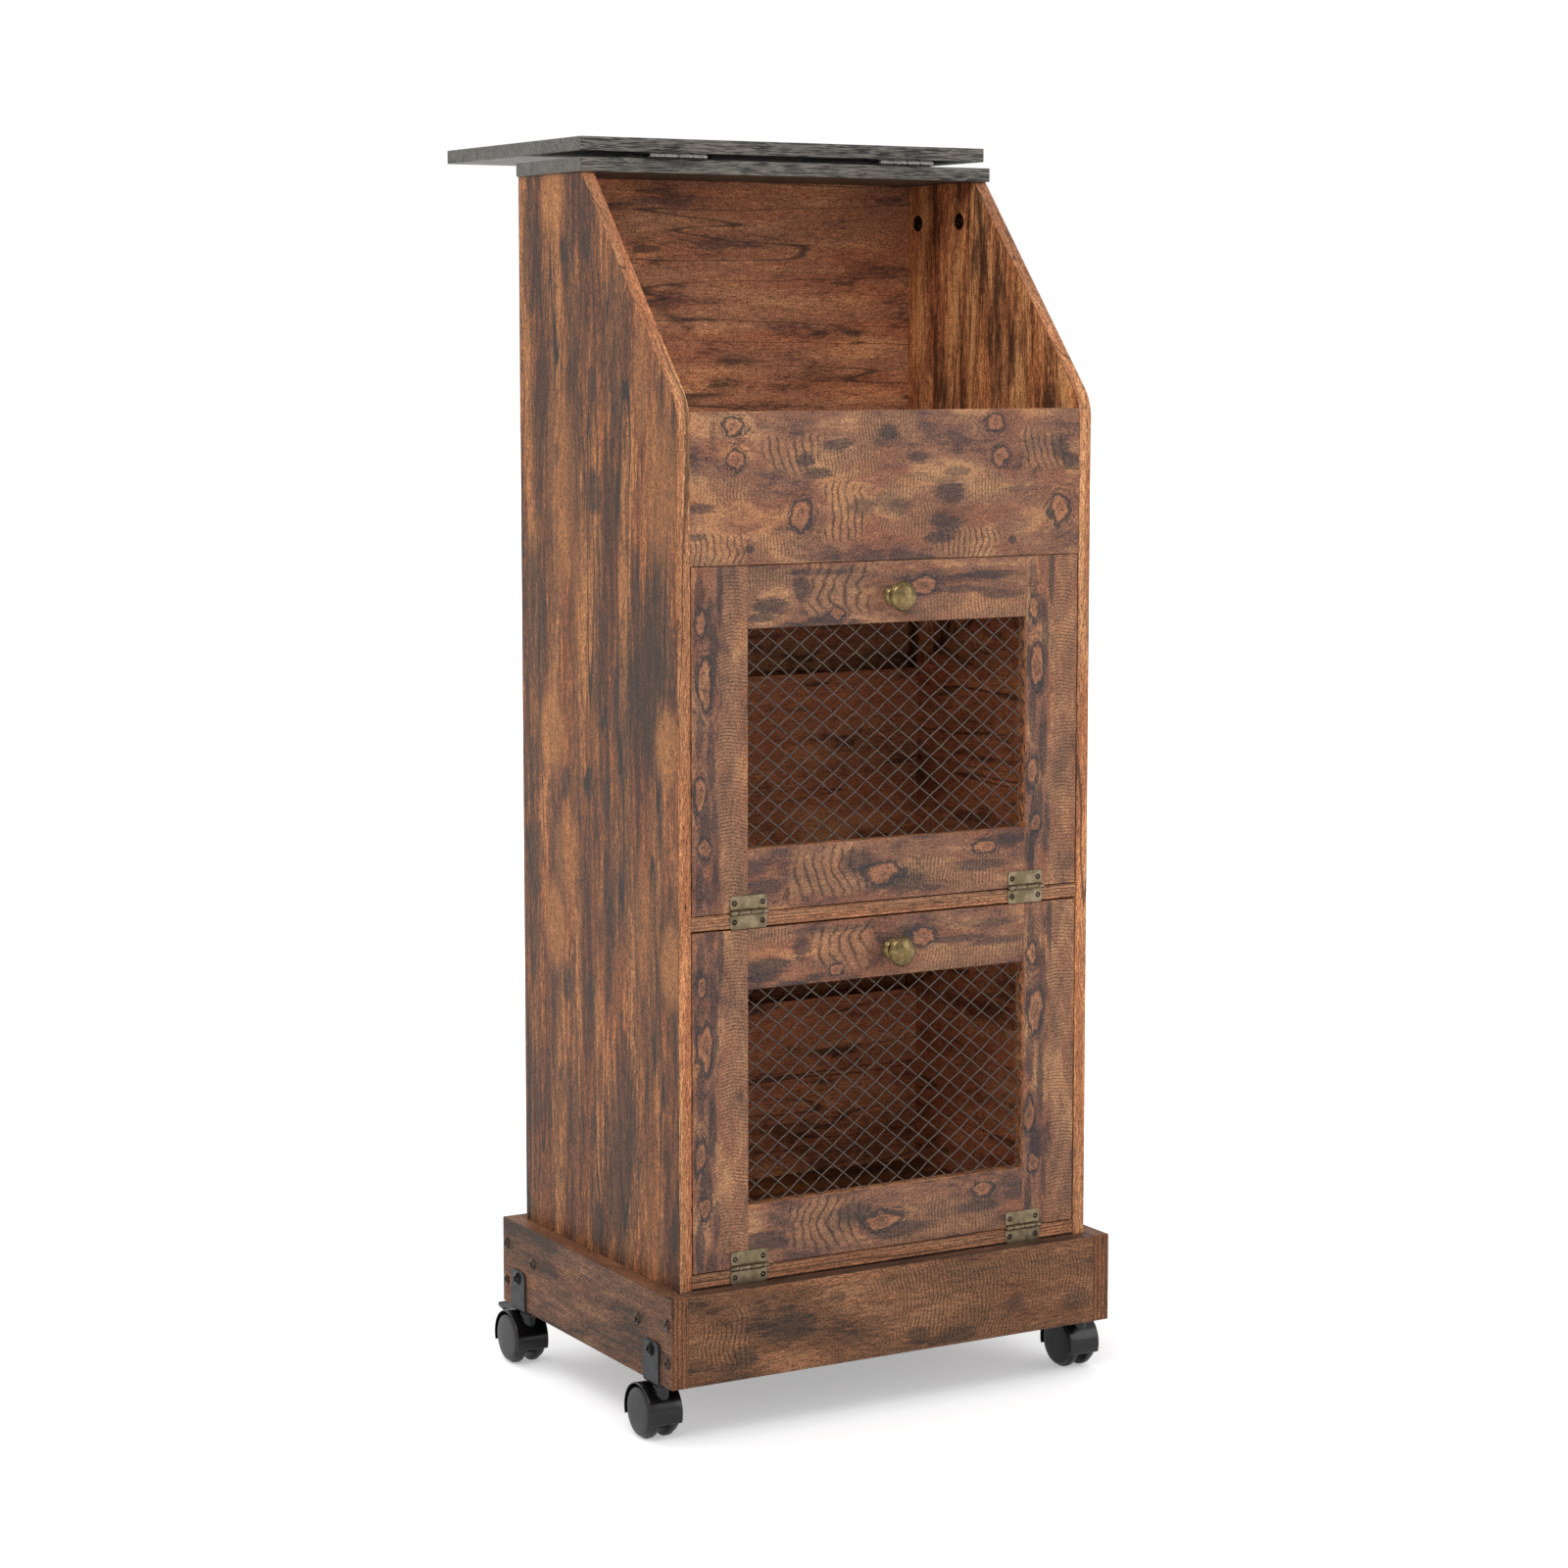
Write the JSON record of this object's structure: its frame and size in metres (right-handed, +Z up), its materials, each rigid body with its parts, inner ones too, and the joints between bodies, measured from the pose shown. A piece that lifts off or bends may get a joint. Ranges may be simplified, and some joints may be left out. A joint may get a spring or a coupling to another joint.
{
  "type": "tilt-out bin cabinet",
  "caption": "Tall narrow kitchen storage cabinet on casters with a slanted open bin under a folding lid and tilt-out bins with wire-mesh fronts.",
  "frame": {"origin": "on the floor, under the centre of the cabinet body", "axes": "+Z up, -Y out of the front with the knobs and mesh, +X to the right of somebody who looks at the front"},
  "size_m": [0.4522, 0.4633, 1.0836],
  "materials": {
    "rustic_wood": "satin rustic brown wood-grain laminate",
    "rustic_wood_dark": "satin dark rustic brown wood-grain laminate",
    "grey_oak": "matt charcoal oak-grain laminate",
    "wire": "satin grey-brown coated wire",
    "antique_brass": "aged satin",
    "steel": "satin",
    "black_metal": "black powder coat",
    "catch_plastic": "matt",
    "housing_black": "satin black",
    "wheel_black": "satin black"
  },
  "bodies": {
    "cabinet": {"side_panel_left": "rustic_wood", "side_panel_right": "rustic_wood", "back_panel": "rustic_wood", "top_board": "grey_oak", "front_panel": "rustic_wood", "top_bin_floor": "rustic_wood", "middle_shelf": "rustic_wood", "bottom_shelf": "rustic_wood", "plinth_front": "rustic_wood_dark", "plinth_back": "rustic_wood_dark", "plinth_left": "rustic_wood_dark", "plinth_right": "rustic_wood_dark", "cam_locks": "black_metal", "cam_bolts": "steel", "plinth_screws": "black_metal", "caster_brackets": "black_metal", "caster_stems": "steel", "shelf_hinge_leaves": "antique_brass", "top_hinge_leaves": "steel", "hinge_pins": "steel", "body_hinge_screws": "steel", "magnetic_catches": "catch_plastic"},
    "lid": {"lid": "grey_oak", "lid_hinge_leaves": "steel", "lid_hinge_screws": "steel"},
    "upper_bin": {"upper_stiles": "rustic_wood", "upper_rails": "rustic_wood", "upper_mesh": "wire", "upper_knob": "antique_brass", "upper_hinge_leaves": "antique_brass", "upper_fixings": "steel", "upper_bin_sides": "rustic_wood", "upper_bin_back": "rustic_wood", "upper_bin_bottom": "rustic_wood", "upper_strike_plate": "steel"},
    "lower_bin": {"lower_stiles": "rustic_wood", "lower_rails": "rustic_wood", "lower_mesh": "wire", "lower_knob": "antique_brass", "lower_hinge_leaves": "antique_brass", "lower_fixings": "steel", "lower_bin_sides": "rustic_wood", "lower_bin_back": "rustic_wood", "lower_bin_bottom": "rustic_wood", "lower_strike_plate": "steel"},
    "caster_fl": {"caster_fl_housing": "housing_black"},
    "caster_fl_wheel_outer": {"caster_fl_wheel_outer": "wheel_black"},
    "caster_fl_wheel_inner": {"caster_fl_wheel_inner": "wheel_black"},
    "caster_fr": {"caster_fr_housing": "housing_black"},
    "caster_fr_wheel_outer": {"caster_fr_wheel_outer": "wheel_black"},
    "caster_fr_wheel_inner": {"caster_fr_wheel_inner": "wheel_black"},
    "caster_bl": {"caster_bl_housing": "housing_black"},
    "caster_bl_wheel_outer": {"caster_bl_wheel_outer": "wheel_black"},
    "caster_bl_wheel_inner": {"caster_bl_wheel_inner": "wheel_black"},
    "caster_bl_brake": {"caster_bl_brake": "housing_black"},
    "caster_br": {"caster_br_housing": "housing_black"},
    "caster_br_wheel_outer": {"caster_br_wheel_outer": "wheel_black"},
    "caster_br_wheel_inner": {"caster_br_wheel_inner": "wheel_black"},
    "caster_br_brake": {"caster_br_brake": "housing_black"}
  },
  "joints": [
    {"name": "lid_hinge", "type": "hinge", "parent": "cabinet", "child": "lid", "pos_m": [0, 0.0153, 1.06831], "axis": [1, 0, 0], "range_deg": [0, 228.79]},
    {"name": "upper_bin_tilt", "type": "hinge", "parent": "cabinet", "child": "upper_bin", "pos_m": [0, -0.1479, 0.443], "axis": [1, 0, 0], "range_deg": [0, 37.5]},
    {"name": "lower_bin_tilt", "type": "hinge", "parent": "cabinet", "child": "lower_bin", "pos_m": [0, -0.1479, 0.143], "axis": [1, 0, 0], "range_deg": [0, 37.5]},
    {"name": "caster_fl_swivel", "type": "hinge", "parent": "cabinet", "child": "caster_fl", "pos_m": [-0.2105, -0.1275, 0.05], "axis": [0, 0, 1], "continuous": true},
    {"name": "caster_fl_roll_outer", "type": "hinge", "parent": "caster_fl", "child": "caster_fl_wheel_outer", "pos_m": [-0.2105, -0.1135, 0.023], "axis": [1, 0, 0], "continuous": true},
    {"name": "caster_fl_roll_inner", "type": "hinge", "parent": "caster_fl", "child": "caster_fl_wheel_inner", "pos_m": [-0.2105, -0.1135, 0.023], "axis": [1, 0, 0], "continuous": true},
    {"name": "caster_fr_swivel", "type": "hinge", "parent": "cabinet", "child": "caster_fr", "pos_m": [0.2105, -0.1275, 0.05], "axis": [0, 0, 1], "continuous": true},
    {"name": "caster_fr_roll_outer", "type": "hinge", "parent": "caster_fr", "child": "caster_fr_wheel_outer", "pos_m": [0.2105, -0.1135, 0.023], "axis": [1, 0, 0], "continuous": true},
    {"name": "caster_fr_roll_inner", "type": "hinge", "parent": "caster_fr", "child": "caster_fr_wheel_inner", "pos_m": [0.2105, -0.1135, 0.023], "axis": [1, 0, 0], "continuous": true},
    {"name": "caster_bl_swivel", "type": "hinge", "parent": "cabinet", "child": "caster_bl", "pos_m": [-0.2105, 0.1275, 0.05], "axis": [0, 0, 1], "continuous": true},
    {"name": "caster_bl_roll_outer", "type": "hinge", "parent": "caster_bl", "child": "caster_bl_wheel_outer", "pos_m": [-0.2105, 0.1415, 0.023], "axis": [1, 0, 0], "continuous": true},
    {"name": "caster_bl_roll_inner", "type": "hinge", "parent": "caster_bl", "child": "caster_bl_wheel_inner", "pos_m": [-0.2105, 0.1415, 0.023], "axis": [1, 0, 0], "continuous": true},
    {"name": "caster_bl_brake_press", "type": "hinge", "parent": "caster_bl", "child": "caster_bl_brake", "pos_m": [-0.2105, 0.1515, 0.038], "axis": [-1, 0, 0], "range_deg": [0, 12]},
    {"name": "caster_br_swivel", "type": "hinge", "parent": "cabinet", "child": "caster_br", "pos_m": [0.2105, 0.1275, 0.05], "axis": [0, 0, 1], "continuous": true},
    {"name": "caster_br_roll_outer", "type": "hinge", "parent": "caster_br", "child": "caster_br_wheel_outer", "pos_m": [0.2105, 0.1415, 0.023], "axis": [1, 0, 0], "continuous": true},
    {"name": "caster_br_roll_inner", "type": "hinge", "parent": "caster_br", "child": "caster_br_wheel_inner", "pos_m": [0.2105, 0.1415, 0.023], "axis": [1, 0, 0], "continuous": true},
    {"name": "caster_br_brake_press", "type": "hinge", "parent": "caster_br", "child": "caster_br_brake", "pos_m": [0.2105, 0.1515, 0.038], "axis": [-1, 0, 0], "range_deg": [0, 12]}
  ]
}
